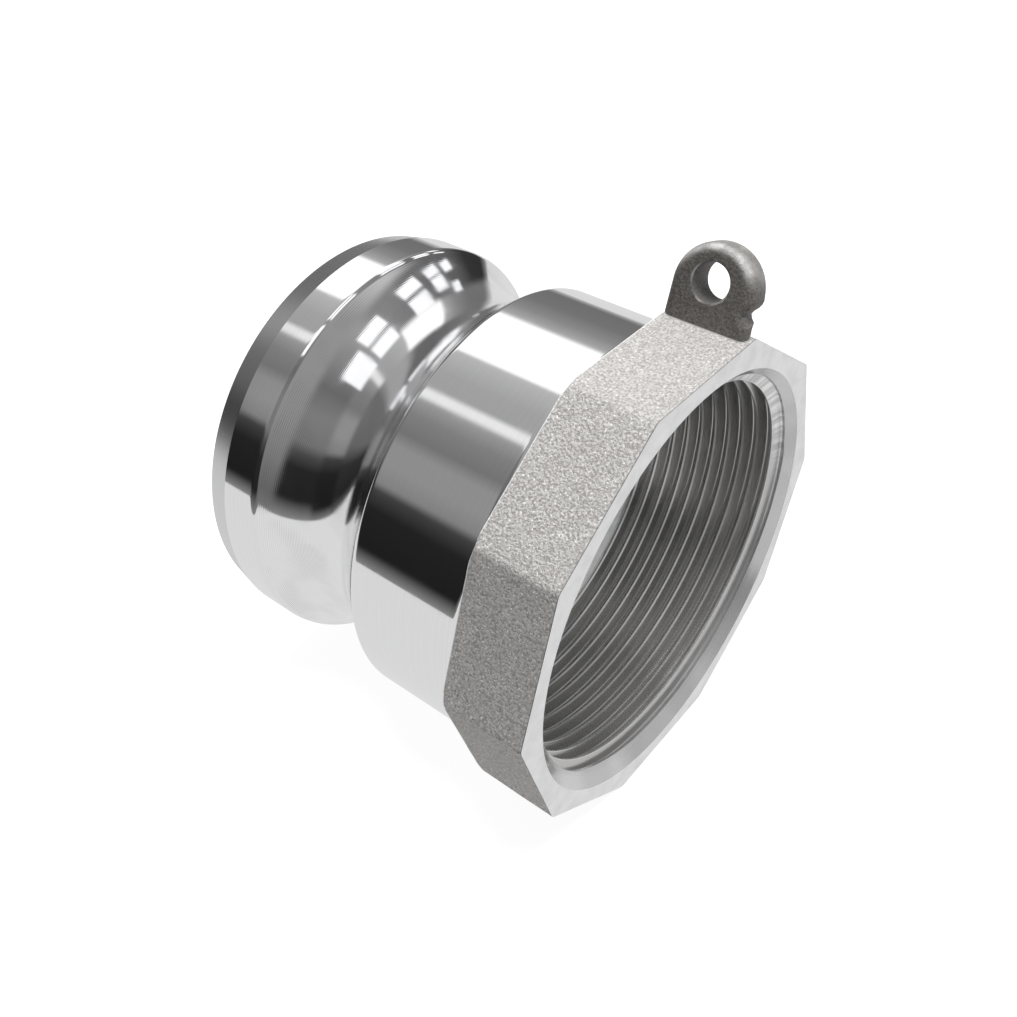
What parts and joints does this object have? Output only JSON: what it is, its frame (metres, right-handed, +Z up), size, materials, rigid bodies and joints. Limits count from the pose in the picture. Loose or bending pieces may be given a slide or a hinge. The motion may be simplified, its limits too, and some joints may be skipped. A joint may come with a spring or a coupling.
{
  "type": "cam and groove coupling",
  "caption": "Male cam and groove hose adapter with a ten-sided wrench body, chain ear, grooved nose and female parallel pipe thread.",
  "frame": {"origin": "centre of the threaded mouth, in the faced plane of the wrench body", "axes": "+X along the bore, out of the threaded mouth; +Z up, square to the flat it lies on; the nose points to -X"},
  "size_m": [0.06, 0.0702, 0.0768],
  "materials": {
    "cast_aluminium": "shot-blasted casting, turned bright on nose, groove, collar and mouth"
  },
  "bodies": {
    "root": {"adapter_body": "cast_aluminium"}
  },
  "joints": []
}
